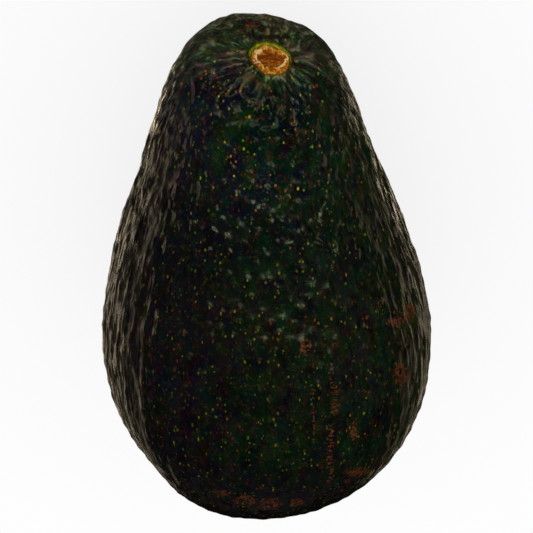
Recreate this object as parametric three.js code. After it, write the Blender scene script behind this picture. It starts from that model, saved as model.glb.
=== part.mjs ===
// A whole avocado lying on its belly, with the woody stem button still in its socket.
//
// Millimetres, +Z up, +X to the right, and the stem end towards +Y. The neck bends up a
// little, and the stem scar looks up and forward. The origin is the middle of the bounding
// box's underside, in the plane of the small flat spot that the fruit rests on.

import * as THREE from 'three';

const DEGREE = Math.PI / 180;

// ---- Driving dimensions: the fruit -------------------------------------------------------

const LENGTH = 117.2;                         // along the core, blossom end to stem end
const HALF_WIDTH = 33.4;                      // at mid length
const FULLNESS = [0.47, 0, -0.2, 0.3, -0.11]; // how the half width swells and narrows
const SWAY = [2.4, -0.4, -2.3, -1.25];        // sideways wander of the core
const THICKNESS = 0.96;                       // height of a cross section over its width
const BEND_START = 0.3;                       // share of the length where the neck starts to bend
const BEND_ANGLE = 24 * DEGREE;               // how far the neck has bent up at the stem end
const NECK_DROP = 15 * DEGREE;                // how far the fruit tips on to its neck as it lies

const SPOT_DEPTH = 0.7;                       // height of the belly that the resting spot takes off
const SPOT_FADE = 3;                          // height above the spot where the relief is whole

// Broad swellings and dents: where each one is on the fruit, its lift and its tightness.
const SWELLS = [
  { right: -0.60, stem: -0.77, up: 0.22, lift: -2.2, tightness: 30 },
  { right: 0.80, stem: -0.55, up: 0.20, lift: -0.7, tightness: 20 },
  { right: -0.90, stem: -0.43, up: 0.14, lift: -0.5, tightness: 20 },
  { right: 0.10, stem: 0.93, up: -0.33, lift: -0.7, tightness: 20 },
  { right: 0.00, stem: 0.25, up: -0.97, lift: 0.6, tightness: 9 },
];

// ---- Driving dimensions: the stem end ----------------------------------------------------

const SCAR_OFF_CORE = 12.3 * DEGREE;          // from the core's end to the middle of the scar
const SCAR_ROUND = 22 * DEGREE;               // which way that is: 0 is up, 90 is right
const SCAR_REACH = 75 * DEGREE;               // how far round the scar the grid is drawn over
const SCAR_TILT = 6 * DEGREE;                 // the button faces the stem end more than the skin

const BUTTON_RADIUS = 3.85;
const BUTTON_HEIGHT = 2.4;
const BUTTON_CHAMFER = 0.3;                   // at the edge of its underside
const BUTTON_ROUGHNESS = 0.2;                 // of its broken face
const BUTTON_DISH = 0.8;                      // depth of the hollow in its face
const BUTTON_SUNK = 0.7;                      // its rim, below the skin's own level
const GAP = 0.35;                             // between the button and its socket
const SOCKET_EDGE = 0.5;                      // top of the socket's wall, below the skin's level

const LIP_RADIUS = 5.2;                       // crest of the green lip round the socket
const LIP_HEIGHT = 0.9;
const LIP_WIDTH = 0.8;
const LIP_SLANT = 0.25;                       // how much higher it is on its lower side, as a share
const TROUGH_RADIUS = 8;                      // the shallow trough outside the lip
const TROUGH_DEPTH = 0.5;
const TROUGH_WIDTH = 2.6;
const FURROWS = 12;                           // furrows that run out from the scar
const FURROW_DEPTH = 0.55;
const FURROW_RADIUS = 13;
const FURROW_WIDTH = 6.5;

// ---- Driving dimensions: the rest of the skin --------------------------------------------

const PEBBLE_HEIGHT = 0.5;                    // of a middling pebble
const PEBBLE_SPREAD = 0.4;                    // how far pebbles differ from that, as a share
const PEBBLES_BEGIN = [9 * DEGREE, 30 * DEGREE];   // they rise over this stretch by the scar
const PEBBLES_END = [150 * DEGREE, 176 * DEGREE];  // and fade over this one by the nub
const SCATTER = 0.36;                         // how far points stray, as a share of the grid's step
const DIMPLE_RADIUS = 4.5;                    // the dimple at the blossom end
const DIMPLE_DEPTH = 0.7;
const NUB_RADIUS = 1.2;                       // the dry nub of the flower in its middle
const NUB_HEIGHT = 0.6;

// The grid's zones, from the scar to the blossom end: angles away from the scar in degrees,
// and points to a ring. Each count is a multiple of 3, because every third point is a pebble.
const ZONES = [
  { from: 12.2, to: 33, step: 2.6, count: 48 },
  { from: 35.5, to: 61, step: 2.5, count: 72 },
  { from: 63.5, to: 143, step: 2.5, count: 96 },
  { from: 145.5, to: 158, step: 2.5, count: 72 },
  { from: 161, to: 169, step: 2.7, count: 48 },
  { from: 171.5, to: 178.5, step: 2.4, count: 24 },
];
const SOCKET_COUNT = 48;                      // points to a ring round the socket and its lip
const BUTTON_COUNT = 36;

// ---- Small helpers -----------------------------------------------------------------------

const bell = (x, middle, width) => Math.exp(-(((x - middle) / width) ** 2));

/** A repeatable random number from 0 to 1 for two whole numbers. */
function chance(i, j) {
  const wave = Math.sin(i * 12.9898 + j * 78.233 + 4.1) * 43758.5453;
  return wave - Math.floor(wave);
}

/** A sum of coefficients times the first, second and further powers of x. */
function powers(coefficients, x) {
  return coefficients.reduce((sum, coefficient, i) => sum + coefficient * x ** (i + 1), 0);
}

// ---- The smooth fruit --------------------------------------------------------------------

/**
 * A point of the smooth pear shape for a unit direction. Along the core the half width is
 * HALF_WIDTH times a polynomial. The core wanders sideways, and past BEND_START it follows an
 * arc upwards. The whole fruit is then tipped on to its neck.
 */
function smoothPoint(direction) {
  const q = -direction.y;
  const halfWidth = HALF_WIDTH * (1 + powers(FULLNESS, q));
  const along = (LENGTH * (1 - q)) / 2;
  const straight = LENGTH * BEND_START;
  const arcRadius = (LENGTH - straight) / BEND_ANGLE;
  const turn = Math.max(0, along - straight) / arcRadius;
  const inward = arcRadius - halfWidth * THICKNESS * direction.z;
  return new THREE.Vector3(
    powers(SWAY, q) + halfWidth * direction.x,
    Math.min(along, straight) + inward * Math.sin(turn),
    arcRadius - inward * Math.cos(turn),
  ).applyAxisAngle(new THREE.Vector3(1, 0, 0), -NECK_DROP);
}

/** The outward normal of the smooth shape, from short steps to each side of the direction. */
function smoothNormal(direction) {
  const STEP = 1e-3;
  const spare = new THREE.Vector3(direction.z, direction.x, direction.y);
  const across = new THREE.Vector3().crossVectors(direction, spare).normalize();
  const onward = new THREE.Vector3().crossVectors(direction, across);
  const point = (way, step) => smoothPoint(direction.clone().addScaledVector(way, step).normalize());
  const slope = (way) => point(way, STEP).sub(point(way, -STEP));
  return slope(across).cross(slope(onward)).normalize();
}

/**
 * The direction for an angle away from the scar and an angle round it. The grid's stem pole is
 * drawn over from the core's end to the scar, less and less with distance, so that its other
 * pole stays at the blossom end.
 */
function gridDirection(away, round) {
  const share = 0.5 + 0.5 * Math.cos(Math.PI * Math.min(1, away / SCAR_REACH));
  const axis = new THREE.Vector3(Math.cos(SCAR_ROUND), 0, -Math.sin(SCAR_ROUND));
  return new THREE.Vector3(
    Math.sin(away) * Math.sin(round),
    Math.cos(away),
    Math.sin(away) * Math.cos(round),
  ).applyAxisAngle(axis, SCAR_OFF_CORE * share);
}

// Millimetres along the skin for each radian away from the stem pole and the blossom pole.
const STEM_SCALE = HALF_WIDTH * (1 + powers(FULLNESS, -1));
const BLOSSOM_SCALE = HALF_WIDTH * (1 + powers(FULLNESS, 1));

// ---- The scar's own frame ----------------------------------------------------------------

/** A frame with its origin at the scar, +Z out of the button and +X where the grid starts. */
function scarFrame() {
  const middle = gridDirection(0, 0);
  const origin = smoothPoint(middle);
  const normal = smoothNormal(middle);
  const start = smoothPoint(gridDirection(0.01, 0)).sub(origin);
  const side = new THREE.Vector3().crossVectors(normal, start).normalize();
  const tiltAxis = new THREE.Vector3().crossVectors(normal, new THREE.Vector3(0, 1, 0)).normalize();
  return new THREE.Matrix4()
    .makeBasis(new THREE.Vector3().crossVectors(side, normal), side, normal)
    .premultiply(new THREE.Matrix4().makeRotationAxis(tiltAxis, SCAR_TILT))
    .setPosition(origin);
}

/** A point in the scar's frame, for a radius and an angle round it and a height. */
function scarPoint(radius, round, height) {
  return new THREE.Vector3(radius * Math.cos(round), radius * Math.sin(round), height);
}

/** The button's outline: a circle with three shallow corners, and five that are shallower. */
function buttonRadius(round) {
  return BUTTON_RADIUS * (1 + 0.03 * Math.cos(3 * round + 0.6) + 0.02 * Math.cos(5 * round + 2));
}

// ---- Relief of the skin ------------------------------------------------------------------

/** The green lip round the socket, a little higher on its lower side, and the trough outside. */
function lipLift(radius, round) {
  const slant = 1 - LIP_SLANT * Math.cos(round);
  const lip = LIP_HEIGHT * slant * bell(radius, LIP_RADIUS, LIP_WIDTH);
  return lip - TROUGH_DEPTH * bell(radius, TROUGH_RADIUS, TROUGH_WIDTH);
}

/** Furrows that run out from the scar, each with its own depth. */
function furrowLift(radius, round) {
  const furrow = Math.round((round * FURROWS) / (2 * Math.PI)) % FURROWS;
  const depth = FURROW_DEPTH * (0.5 + 0.8 * chance(furrow, 7));
  const ripple = 0.5 + 0.5 * Math.cos(FURROWS * round);
  return -depth * ripple * bell(radius, FURROW_RADIUS, FURROW_WIDTH);
}

/** The dimple at the blossom end, with the nub in its middle. */
function blossomLift(radius) {
  return NUB_HEIGHT * bell(radius, 0, NUB_RADIUS) - DIMPLE_DEPTH * bell(radius, 0, DIMPLE_RADIUS);
}

/** Broad swellings and dents. */
function swellLift(direction) {
  return SWELLS.reduce((sum, swell) => {
    const middle = new THREE.Vector3(swell.right, swell.stem, swell.up).normalize();
    return sum + swell.lift * Math.exp(swell.tightness * (direction.dot(middle) - 1));
  }, 0);
}

/** Pebbles on every third point of the staggered grid, none near the lip or the nub. */
function pebbleLift(row, column, away) {
  const isPebble = THREE.MathUtils.euclideanModulo(column - Math.floor(row / 2) - row, 3) === 0;
  const size = 1 + PEBBLE_SPREAD * (2 * chance(column, row) - 1);
  const valley = -0.25 * chance(row, column);
  const begun = THREE.MathUtils.smoothstep(away, ...PEBBLES_BEGIN);
  const ended = THREE.MathUtils.smoothstep(away, ...PEBBLES_END);
  return PEBBLE_HEIGHT * (isPebble ? size : valley) * begun * (1 - ended);
}

// ---- Rings of points, and the skin stretched over them -----------------------------------

/** A ring: each point's share of the way round, from 0 to 1. Odd rows stand half a step on. */
function shares(count, row) {
  const shift = row % 2 && count > 1 ? 0.5 : 0;
  return Array.from({ length: count }, (_, column) => (column + shift) / count);
}

/** Triangles between two rings, made in turn at whichever ring has the nearer next point. */
function stretch(inner, outer, triangles) {
  const at = (points, i) => points[i % points.length];
  const next = (points, i) => {
    const past = points.length === 1 || i >= points.length;
    return past ? Infinity : at(points, i + 1).share + Math.floor((i + 1) / points.length);
  };
  let i = 0;
  let j = 0;
  while (next(inner, i) < Infinity || next(outer, j) < Infinity) {
    const corners = [at(inner, i), at(outer, j)];
    if (next(inner, i) <= next(outer, j)) {
      i += 1;
      corners.unshift(at(inner, i));
    } else {
      j += 1;
      corners.push(at(outer, j));
    }
    triangles.push(...corners.map((corner) => corner.point));
  }
}

/** A closed geometry over rings that begin and end in a single point. */
function skinOver(rings) {
  const triangles = [];
  for (let i = 1; i < rings.length; i += 1) stretch(rings[i - 1], rings[i], triangles);
  return new THREE.BufferGeometry().setFromPoints(triangles);
}

// ---- The fruit ---------------------------------------------------------------------------

/** The socket in the fruit, from the middle of its floor up to its edge. */
function socketRings(frame) {
  const floor = -BUTTON_SUNK - BUTTON_HEIGHT - GAP;
  const profile = [[0, floor], [0.5, floor], [1, floor], [1, 0.55 * floor], [1, -SOCKET_EDGE]];
  return profile.map(([width, height]) => shares(width ? SOCKET_COUNT : 1, 0).map((share) => {
    const round = share * 2 * Math.PI;
    const radius = width * (buttonRadius(round) + GAP);
    return { share, point: scarPoint(radius, round, height).applyMatrix4(frame) };
  }));
}

/** The rows of the grid outside the socket: angle away from the scar, point count and scatter. */
function skinRows() {
  const rows = [4.7, 5.2, 5.8, 6.5, 7.3].map((radius) => (
    { away: radius / STEM_SCALE, count: SOCKET_COUNT, scatter: 0 }));
  for (const zone of ZONES) {
    const count = Math.round((zone.to - zone.from) / zone.step) + 1;
    for (let i = 0; i < count; i += 1) {
      const away = THREE.MathUtils.lerp(zone.from, zone.to, i / (count - 1)) * DEGREE;
      rows.push({ away, count: zone.count, scatter: SCATTER * zone.step * DEGREE });
    }
  }
  rows.push({ away: Math.PI, count: 1, scatter: 0 });
  return rows;
}

/** One ring of the skin before its relief, with its points strayed a little off the grid. */
function smoothRing(place, row) {
  return shares(place.count, row).map((evenShare, column) => {
    const stray = (salt) => chance(column + salt, row) - 0.5;
    const share = evenShare + (place.scatter ? (SCATTER * stray(31)) / place.count : 0);
    const away = place.away + place.scatter * stray(67);
    const round = share * 2 * Math.PI;
    const direction = gridDirection(away, round);
    const normal = smoothNormal(direction);
    const point = smoothPoint(direction).addScaledVector(normal, swellLift(direction));
    return { share, away, round, point, normal, row, column };
  });
}

/** Raises the relief on a smooth point. It dies away near the spot, which is dead flat. */
function raise(place, floor) {
  const { away, round, point, normal, row, column } = place;
  const radius = away * STEM_SCALE;
  const lift = lipLift(radius, round) + furrowLift(radius, round) + pebbleLift(row, column, away)
    + blossomLift((Math.PI - away) * BLOSSOM_SCALE);
  const share = THREE.MathUtils.smoothstep(point.z - floor, 0, SPOT_FADE);
  point.addScaledVector(normal, lift * share);
  point.z = Math.max(point.z, floor);
}

function makeFruit(frame) {
  const rings = skinRows().map(smoothRing);
  const places = rings.flat();
  const floor = Math.min(...places.map(({ point }) => point.z)) + SPOT_DEPTH;
  places.forEach((place) => raise(place, floor));
  const skin = new THREE.MeshStandardMaterial({ color: 0x20241a, roughness: 0.45, metalness: 0 });
  const fruit = new THREE.Mesh(skinOver([...socketRings(frame), ...rings]), skin);
  fruit.name = 'avocado_fruit';
  return fruit;
}

// ---- The stem button ---------------------------------------------------------------------

/** A dry stub of the stem: a raised rim of bark, a dished face and a chamfered underside. */
function makeButton(frame) {
  const face = [
    [0, -1], [0.22, -0.95], [0.42, -0.8], [0.6, -0.4], [0.76, -0.05], [0.9, 0], [1, -0.35],
  ].map(([width, depth]) => ({ width, height: depth * BUTTON_DISH, rough: BUTTON_ROUGHNESS }));
  const underside = [
    [1, BUTTON_CHAMFER], [0.9, 0], [0.45, 0], [0, 0],
  ].map(([width, height]) => ({ width, height: height - BUTTON_HEIGHT, rough: 0 }));
  const rings = [...face, ...underside].map(({ width, height, rough }, row) => (
    shares(width ? BUTTON_COUNT : 1, row).map((share, column) => {
      const round = share * 2 * Math.PI;
      const broken = height - rough * chance(column, row);
      return { share, point: scarPoint(width * buttonRadius(round), round, broken) };
    })));
  const wood = new THREE.MeshStandardMaterial({ color: 0x84491c, roughness: 0.85, metalness: 0 });
  const button = new THREE.Mesh(skinOver(rings), wood);
  button.name = 'stem_button';
  frame.decompose(button.position, button.quaternion, button.scale);
  button.translateZ(-BUTTON_SUNK);
  return button;
}

// ---- The whole avocado -------------------------------------------------------------------

/** Both pieces, moved so that the origin is the middle of the bounding box's underside. */
function makeAvocado() {
  const frame = scarFrame();
  const avocado = new THREE.Group();
  avocado.add(makeFruit(frame), makeButton(frame));
  const box = new THREE.Box3().setFromObject(avocado, true);
  const middle = box.getCenter(new THREE.Vector3());
  avocado.position.set(-middle.x, -middle.y, -box.min.z);
  return avocado;
}

export default makeAvocado();
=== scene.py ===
# %% [markdown]
# # A whole avocado
#
# This scene dresses the packed model of one large dark avocado. Two parts of the real thing show:
# a thick pebbled skin that has turned nearly black, and the dry stub of the stem in its socket.
# The frame gives both as plain solids of the right size. Here each is made again as a fine
# surface, and then gets its colours, its gloss, a floor and some light. The solids are imported
# first, and each is hidden once its fine surface is made.

# %% The frame and its solids
from itertools import product

import bpy
import numpy as np
from mathutils import Matrix, Vector


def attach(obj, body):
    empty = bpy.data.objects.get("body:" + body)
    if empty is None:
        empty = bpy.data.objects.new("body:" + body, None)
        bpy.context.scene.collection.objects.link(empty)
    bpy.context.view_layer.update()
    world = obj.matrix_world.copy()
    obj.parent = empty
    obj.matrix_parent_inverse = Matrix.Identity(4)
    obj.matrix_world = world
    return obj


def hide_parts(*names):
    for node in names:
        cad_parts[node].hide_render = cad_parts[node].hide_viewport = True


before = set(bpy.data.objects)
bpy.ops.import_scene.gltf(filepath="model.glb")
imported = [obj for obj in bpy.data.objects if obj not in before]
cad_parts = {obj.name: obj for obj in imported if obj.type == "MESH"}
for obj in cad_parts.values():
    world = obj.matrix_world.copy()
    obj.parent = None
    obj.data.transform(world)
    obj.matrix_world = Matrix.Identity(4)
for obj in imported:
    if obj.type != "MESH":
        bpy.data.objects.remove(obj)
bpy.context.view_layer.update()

MM = 0.001

# %% [markdown]
# ## Where it is seen from
#
# The fruit lies on its belly with its stem end away from the viewer, who looks down on it through
# a long lens. The camera could be aimed with a constraint, but three plain directions do it
# exactly: to the right, up the view, and back to the eye. They place marks on the skin later, too.

# %% The camera
LENS = 150
DISTANCE = 480 * MM
LEAN = np.radians(37)  # of the camera from straight above
TARGET = np.array([-0.17, 1.94, 35.71]) * MM
RIGHT = np.array([1.0, 0.0, 0.0])
VIEW_UP = np.array([0.0, np.cos(LEAN), -np.sin(LEAN)])
BACK = np.array([0.0, np.sin(LEAN), np.cos(LEAN)])
EYE = TARGET + DISTANCE * BACK

camera = bpy.data.objects.new("camera", bpy.data.cameras.new("camera"))
bpy.context.scene.collection.objects.link(camera)
camera.data.lens = LENS
camera.matrix_world = Matrix.LocRotScale(
    Vector(EYE), Matrix(np.column_stack([RIGHT, VIEW_UP, BACK])), None)
bpy.context.scene.camera = camera
print("camera height, mm:", round(EYE[2] / MM))

# %% [markdown]
# ## The smooth pear shape
#
# Under its pebbles an avocado is a smooth pear. It could be lathed, but a real one is never quite
# round: its core wanders sideways and its neck bends up. So each point is worked out from a
# direction, as on a ball. The half width along the core is a polynomial, and the core is a
# straight line that turns into an arc. Relief is raised on it later, along the line square to two
# short steps over the pear.

# %% The pear's formula
LENGTH = 117.2  # along the core, in mm like all sizes of the fruit
HALF_WIDTH = 33.4
FULLNESS = [0.47, 0, -0.2, 0.3, -0.11]
SWAY = [2.4, -0.4, -2.3, -1.25]
THICKNESS = 0.96  # from belly to back, as a share of the width
BEND_START = 0.3  # of the length, from the blossom end
BEND_ANGLE = np.radians(24)
NECK_DROP = np.radians(15)
CORE_START = np.array([-0.745, -57.056, 45.438])  # the blossom end of the core, in the frame


def powers(coefficients, x):
    """x, x squared, x cubed and so on, each times its coefficient, added up."""
    return sum(c * x ** (i + 1) for i, c in enumerate(coefficients))


def turned(points, axis, angle):
    """The part of each point along the axis stays, and the rest swings round it."""
    axis = np.asarray(axis, float)
    angle = np.asarray(angle)[..., None]
    along = (points @ axis)[..., None] * axis
    return along + np.cos(angle) * (points - along) + np.sin(angle) * np.cross(axis, points)


def girth(direction):
    """The half width at each direction: a polynomial of how far it looks to the blossom."""
    return HALF_WIDTH * (1 + powers(FULLNESS, -direction[..., 1]))


def smooth_point(direction):
    """The pear: a ball stretched along the core, swollen by its girth, its core bent up."""
    q = -direction[..., 1]
    half_width = girth(direction)
    along = LENGTH * (1 - q) / 2
    straight = LENGTH * BEND_START
    arc_radius = (LENGTH - straight) / BEND_ANGLE
    turn = np.maximum(0, along - straight) / arc_radius
    inward = arc_radius - half_width * THICKNESS * direction[..., 2]
    point = np.stack([
        powers(SWAY, q) + half_width * direction[..., 0],
        np.minimum(along, straight) + inward * np.sin(turn),
        arc_radius - inward * np.cos(turn),
    ], -1)
    return turned(point, (1, 0, 0), -NECK_DROP) + CORE_START


def unit(vectors):
    """Each vector divided by its own length."""
    return vectors / np.linalg.norm(vectors, axis=-1, keepdims=True)


def smooth_normal(direction):
    """The cross product of two short steps over the pear, one across and one onward."""
    across = unit(np.cross(direction, np.roll(direction, 1, axis=-1)))
    onward = np.cross(direction, across)

    def slope(way):
        ahead = smooth_point(unit(direction + 1e-3 * way))
        return ahead - smooth_point(unit(direction - 1e-3 * way))

    return unit(np.cross(slope(across), slope(onward)))


ends = smooth_point(np.array([[0.0, -1.0, 0.0], [0.0, 1.0, 0.0]]))
print("blossom end and stem end, mm:", ends.round(1).tolist())

# %% [markdown]
# ## A grid drawn round the stem scar
#
# The skin is a grid of rings round the stem scar, which is a little off the core's end. A ball's
# usual grid would put its pole beside the scar and cut the socket's round edge into steps. Here
# the rings are drawn over towards the scar near it, and less with distance, so that the last ring
# still closes at the blossom end.

# %% Directions of the grid
SCAR_OFF_CORE = np.radians(11.6)
SCAR_ROUND = np.radians(25)  # which way that is: 0 is up, 90 is right
SCAR_REACH = np.radians(75)
SCAR_TILT = np.radians(6)
STEM_SCALE = HALF_WIDTH * (1 + powers(FULLNESS, -1))  # mm on the skin for each radian
BLOSSOM_SCALE = HALF_WIDTH * (1 + powers(FULLNESS, 1))


def grid_direction(away, around):
    """A ball's ring at the angle away, turned towards the scar by a share that eases out."""
    share = 0.5 + 0.5 * np.cos(np.pi * np.minimum(1, away / SCAR_REACH))
    ring = np.stack([
        np.sin(away) * np.sin(around),
        np.cos(away),
        np.sin(away) * np.cos(around),
    ], -1)
    return turned(ring, (np.cos(SCAR_ROUND), 0, -np.sin(SCAR_ROUND)), SCAR_OFF_CORE * share)


def scar_axes():
    """The scar's middle, and its three axes: the grid's start, its side, and out of it."""
    middle = grid_direction(np.zeros(1), np.zeros(1))
    origin = smooth_point(middle)[0]
    normal = smooth_normal(middle)[0]
    start = smooth_point(grid_direction(np.full(1, 0.01), np.zeros(1)))[0] - origin
    side = unit(np.cross(normal, start))
    tilt_axis = unit(np.cross(normal, (0, 1, 0)))
    axes = np.array([np.cross(side, normal), side, normal])
    return origin, turned(axes, tilt_axis, SCAR_TILT)


scar_origin, scar_directions = scar_axes()
right_round = np.arctan2(scar_directions[1] @ RIGHT, scar_directions[0] @ RIGHT)


def scar_point(radius, around, height):
    """A turn round the scar's middle at a radius, raised out of the scar by a height."""
    local = np.stack(np.broadcast_arrays(
        radius * np.cos(around), radius * np.sin(around), height), -1)
    return scar_origin + local @ scar_directions


def from_right(around):
    """The angle round the scar as the viewer sees it: 0 is right, a quarter turn is up."""
    return around - right_round


print("scar, mm:", scar_origin.round(1))

# %% [markdown]
# ## Seeded randomness
#
# Nothing that grew repeats, so lumps, ridges and crumbs come from noise. Blender's own texture
# noise can't be read back as numbers. Here a hash gives every whole-number cell a random value,
# and smooth noise eases between them. A bell and an eased step go with it everywhere.

# %% Noise in whole arrays


def chance(cell, salt):
    """A whole-number hash: the cell's numbers times large primes, mixed bit by bit."""
    cell = cell.astype(np.int64)
    mixed = (cell[..., 0] * 73856093) ^ (cell[..., 1] * 19349663) ^ (cell[..., 2] * 83492791)
    mixed = (mixed ^ (salt * 2654435761)) & 0xFFFFFFFF
    for shift in (15, 13):
        mixed = ((mixed ^ (mixed >> shift)) * 1274126177) & 0xFFFFFFFF
    return (mixed ^ (mixed >> 16)) / 0xFFFFFFFF


def soft_noise(points, size, salt):
    """Random values from -1 to 1 at the corners of cells of a size, eased in between."""
    place = points / size
    cell = np.floor(place)
    ease = (place - cell) ** 2 * (3 - 2 * (place - cell))
    total = 0
    for corner in product((0, 1), repeat=3):
        weight = np.prod(np.where(corner, ease, 1 - ease), axis=-1)
        total = total + weight * chance(cell + corner, salt)
    return 2 * total - 1


def bell(x, middle, width):
    """One at the middle, falling away on both sides as the square of the distance."""
    return np.exp(-(((x - middle) / width) ** 2))


def eased(x, start, end):
    """From 0 at the start to 1 at the end, level at both."""
    t = np.clip((x - start) / (end - start), 0, 1)
    return t * t * (3 - 2 * t)


print("noise along a line:", soft_noise(np.linspace([0, 0, 0], [1, 0, 0], 5), 1, 0).round(2))

# %% [markdown]
# ## Broad relief
#
# Up close the pear is not even. It has a few wide bumps and dents, low swells, and long ridges in
# line with the core that catch the light on its sides. Sculpting could make them, but a formula
# can be read and resized. Each is a height in mm along the outward direction, at a place measured
# as if the core were straight, so that everything lines up with it.

# %% Swells, lumps and ridges
SWELLS = [  # right, stem, up, lift in mm, tightness
    (-0.60, -0.77, 0.22, -1.85, 30),
    (0.80, -0.55, 0.20, -0.45, 20),
    (-0.90, -0.43, 0.14, -0.5, 20),
    (0.10, 0.93, -0.33, -0.7, 20),
    (0.00, 0.25, -0.97, 0.6, 9),
    (-0.40, 0.73, -0.55, 0.6, 20),
    (0.10, -0.80, 0.60, 0.25, 6),
]
WIDE_LUMP = np.array([7.0, 12.0, 7.0])  # mm across, along and up, as for those below
LUMP = np.array([3.6, 5.5, 3.6])
RIDGE = np.array([2.0, 9.0, 2.0])
RIDGE_HEIGHT = 0.30
FLANK = (0.6, 0.9)  # from where to where the skin counts as facing sideways


def swell_lift(direction):
    """Broad bumps and dents, each a bell over the ball round its own middle."""
    return sum(
        lift * np.exp(tightness * (direction @ unit(np.array([right, stem, up])) - 1))
        for right, stem, up, lift, tightness in SWELLS)


def straightened(direction):
    """The same place on a fruit with a straight core, so that pebbles line up with it."""
    half_width = girth(direction)
    return np.stack([
        half_width * direction[..., 0],
        LENGTH * (1 + direction[..., 1]) / 2,
        half_width * THICKNESS * direction[..., 2],
    ], -1)


def lumps(place):
    """Low swells of two sizes, longer along the core than across it."""
    return 0.25 * soft_noise(place, WIDE_LUMP, 5) + 0.17 * soft_noise(place, LUMP, 6)


def ridges(place):
    """Long low ridges in line with the core, from noise drawn out along it."""
    return soft_noise(place, RIDGE, 7) + 0.6 * soft_noise(place, RIDGE * 2, 8)


def facing_sideways(normal):
    """One on the flanks, where the outward direction points right or left."""
    return eased(np.abs(normal[..., 0]), *FLANK)


print("broad bumps and dents:", len(SWELLS))

# %% [markdown]
# ## Round the stem
#
# Round the button stands a fresh green lip, and beyond it a trough, from which folds run out over
# the neck like the gathers of a drawn bag. The eye knows the large folds one by one, so each has
# its own angle, bend and length, with noise between them. The blossom end only has a dimple with
# a dry nub.

# %% Button edge, lip, folds and dimple
BUTTON_RADIUS = 3.85
LIP_TROUGH = (6.0, 1.1)  # mm from the scar's middle, and half width
FOLDS = [  # angle seen, its change a mm, start and end in mm, half width, lift in mm
    (183, 0.0, 4.6, 10.5, 0.35, -0.55), (200, 0.6, 4.8, 11.0, 0.40, -0.60),
    (192, 0.4, 5.2, 10.0, 0.40, 0.25), (214, 0.5, 5.0, 10.5, 0.35, -0.55),
    (228, 0.8, 5.0, 10.0, 0.60, 0.55), (241, 0.6, 5.2, 9.5, 0.40, -0.50),
    (256, 0.4, 5.6, 9.5, 0.75, 0.30), (268, 0.2, 5.2, 9.0, 0.30, -0.35),
    (280, 0.2, 5.4, 10.0, 0.35, -0.45), (291, -0.1, 5.2, 13.0, 0.30, -0.40),
    (303, 0.0, 5.2, 8.5, 0.40, 0.25), (314, 0.0, 5.2, 8.0, 0.30, -0.30),
    (327, 0.2, 5.4, 9.5, 0.40, -0.45), (342, -0.6, 5.2, 9.0, 0.40, 0.20),
    (360, -1.3, 5.0, 15.0, 0.55, -0.60), (366, -1.3, 5.4, 16.0, 0.60, 0.50),
    (36, 0.0, 5.4, 8.0, 1.10, 0.60), (56, 0.0, 5.2, 9.0, 0.50, -0.40),
    (75, 0.0, 5.2, 8.5, 0.50, 0.35), (88, 0.5, 5.2, 9.0, 0.35, -0.35),
    (100, 0.0, 5.2, 8.5, 0.50, 0.30), (112, 0.3, 5.2, 9.0, 0.50, -0.40),
    (130, 0.5, 5.2, 8.5, 0.50, -0.30), (152, 0.3, 5.2, 9.0, 0.40, -0.30),
]


def toward(around, degrees, tightness):
    """One at an angle seen round the scar, falling away on both sides of it."""
    return np.exp(tightness * (np.cos(from_right(around) - np.radians(degrees)) - 1))


def button_radius(around):
    """A circle with shallow corners, a little longer from the upper left to the lower right."""
    longer = 0.06 * np.cos(2 * (from_right(around) - np.radians(153)))
    longer = longer - 0.07 * toward(around, 228, 8)
    return BUTTON_RADIUS * (
        1 + longer + 0.03 * np.cos(3 * around + 0.6) + 0.02 * np.cos(5 * around + 2))


def folds(radius, around):
    """Folds that leave the lip at their own angles, over spokes of finer noise."""
    seen = np.degrees(from_right(around))
    spoke = np.stack([2.0 * np.cos(around), 2.0 * np.sin(around), radius / 12], -1)
    stray = soft_noise(spoke, 0.7, 34)
    fine = soft_noise(spoke, 0.3, 31) + 0.7 * soft_noise(spoke, 0.15, 32)
    total = 0.19 * fine * eased(radius, 4.9, 6.0) * (1 - eased(radius, 10.0, 24.0))
    for angle, bend, start, end, width, lift in FOLDS:
        turn = (seen - angle - bend * (radius - start) - 3 * stray + 180) % 360 - 180
        across = np.radians(turn) * radius
        along = eased(radius, start, start + 1) * (1 - eased(radius, 0.7 * end, 1.3 * end))
        total = total + lift * along * bell(across, 0, width)
    return total


def lip_width(around):
    """Widest up the view, narrow below, and all but gone at the lower left."""
    ragged = np.stack([3 * np.cos(around), 3 * np.sin(around), 0 * around], -1)
    width = 0.42 + 0.07 * np.cos(from_right(around) - np.radians(120))
    return width - 0.51 * toward(around, 234, 7) + 0.07 * soft_noise(ragged, 0.5, 35)


def lip(radius, around):
    """The green lip just outside the button, and the trough round it."""
    width = lip_width(around)
    outside = radius - button_radius(around)
    crest = 0.8 * eased(width, 0.0, 0.9) * bell(outside, 0.2 + 0.45 * width, 0.25 + 0.3 * width)
    return crest - 0.45 * bell(radius, *LIP_TROUGH)


def blossom(from_tip):
    """A dimple with a small dry nub in its middle."""
    return 0.6 * bell(from_tip, 0, 1.2) - 0.7 * bell(from_tip, 0, 4.5)


print("folds round the stem:", len(FOLDS))

# %% [markdown]
# ## Where the pebbles are
#
# The skin is packed with pebbles a little longer than they are wide, without rows. A grid of
# cells would show its lines, so seeds are dropped at random, and one that falls too near another
# is thrown away. Each pebble's dome is a bell round its seed, for all the skin's points at once.
# The pebbles fade out near the scar and the blossom end.

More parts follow.
